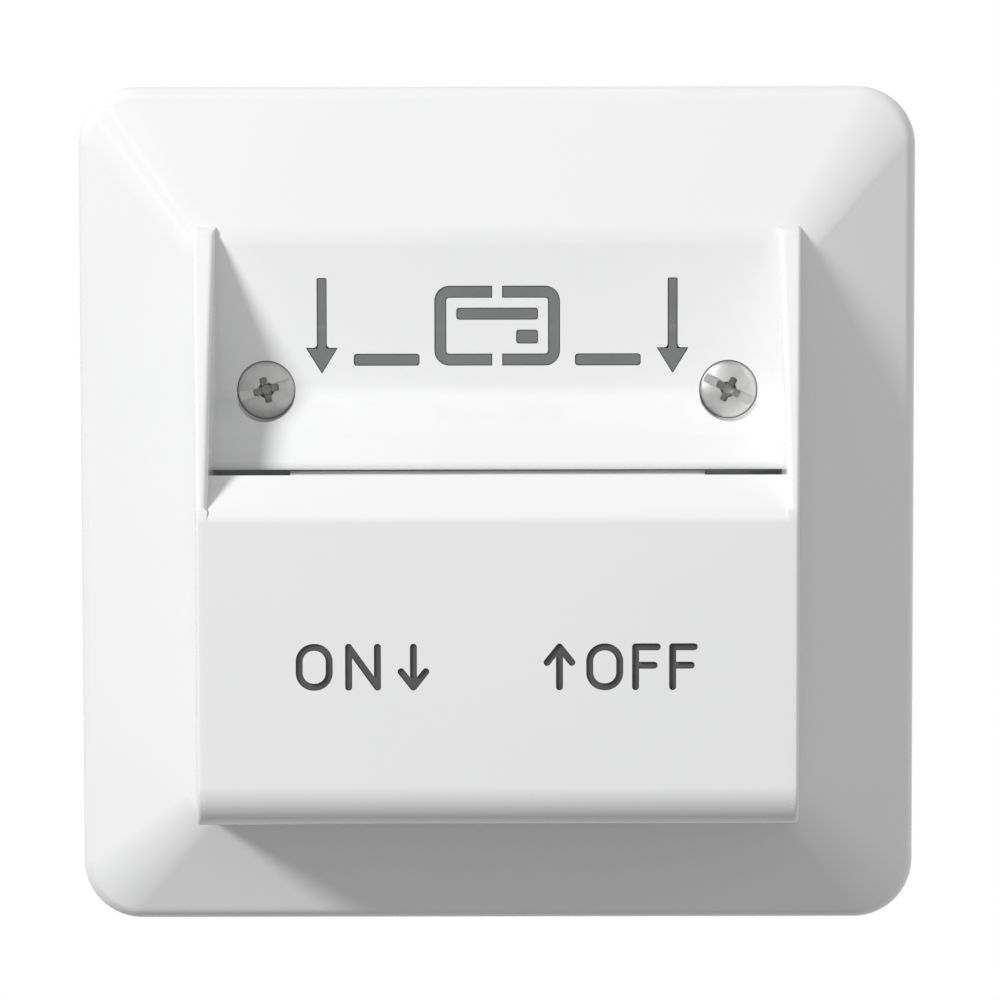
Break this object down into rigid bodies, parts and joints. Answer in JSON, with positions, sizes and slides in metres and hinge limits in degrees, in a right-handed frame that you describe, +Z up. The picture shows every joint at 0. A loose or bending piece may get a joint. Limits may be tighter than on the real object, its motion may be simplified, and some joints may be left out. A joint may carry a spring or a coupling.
{
  "type": "key card switch",
  "caption": "Square wall switch worked by a hotel key card: a sloped white cover with a raised card pocket in front of a sprung flap, plunger and contacts.",
  "frame": {"origin": "centre of the plate on the wall plane, midway between the two box screws", "axes": "+X to the viewer's right, +Y into the wall, +Z up the wall"},
  "size_m": [0.085, 0.0498, 0.085],
  "materials": {
    "white_plastic": "smooth glossy white moulding",
    "clear_plastic": "clear, slightly smoky moulding",
    "nickel_screw": "bright nickel plated",
    "guide_plastic": "fine matt off-white moulding",
    "zinc_screw": "blue passivated zinc",
    "lever_plastic": "light grey, low friction plastic",
    "pin_steel": "ground steel",
    "clip_steel": "dark phosphated spring steel",
    "zinc_sheet": "stamped sheet, zinc plated",
    "base_plastic": "dark grey moulding compound",
    "lid_plastic": "dark grey moulding compound",
    "rivet_brass": "bare, dull",
    "plunger_plastic": "red acetal",
    "spring_steel": "drawn spring wire",
    "copper": "stamped copper",
    "silver": "silver alloy",
    "brass_strip": "stamped strip",
    "brass_block": "machined bar",
    "holder_plastic": "natural nylon",
    "lamp_glass": "clear tube with a warm tint",
    "tinned_wire": "tinned wire",
    "resistor_coat": "tan lacquer"
  },
  "bodies": {
    "housing": {"cover_plate": "white_plastic", "light_guide": "clear_plastic", "cover_screws": "nickel_screw", "card_guide": "guide_plastic", "guide_screws": "zinc_screw", "lever_axle": "pin_steel", "axle_clips": "clip_steel", "support_ring": "zinc_sheet", "switch_base": "base_plastic", "base_cover": "lid_plastic", "cover_rivets": "rivet_brass", "base_screws": "zinc_screw", "return_spring": "spring_steel", "line_contact": "brass_strip", "load_contact": "brass_strip", "fixed_tips": "silver", "line_terminal": "brass_block", "load_terminal": "brass_block", "terminal_screws": "zinc_screw", "lamp_holder": "holder_plastic", "locator_lamp": "lamp_glass", "lamp_leads": "tinned_wire", "lamp_resistor": "resistor_coat"},
    "flap": {"card_lever": "lever_plastic"},
    "slider": {"plunger": "plunger_plastic", "contact_bridge": "copper", "bridge_tips": "silver", "contact_spring": "spring_steel"}
  },
  "joints": [
    {"name": "flap_pivot", "type": "hinge", "parent": "housing", "child": "flap", "pos_m": [0, -0.0115, 0], "axis": [1, 0, 0], "range_deg": [0, 10.43]},
    {"name": "plunger_slide", "type": "slide", "parent": "housing", "child": "slider", "axis": [0, 1, 0], "range_m": [0, 0.00218], "stiffness_N_per_m": 300, "springref_m": -0.004, "deforming": ["return_spring"]}
  ],
  "couplings": [
    {"joint": "flap_pivot", "follows": "plunger_slide", "rad_per_m": 83.45}
  ]
}
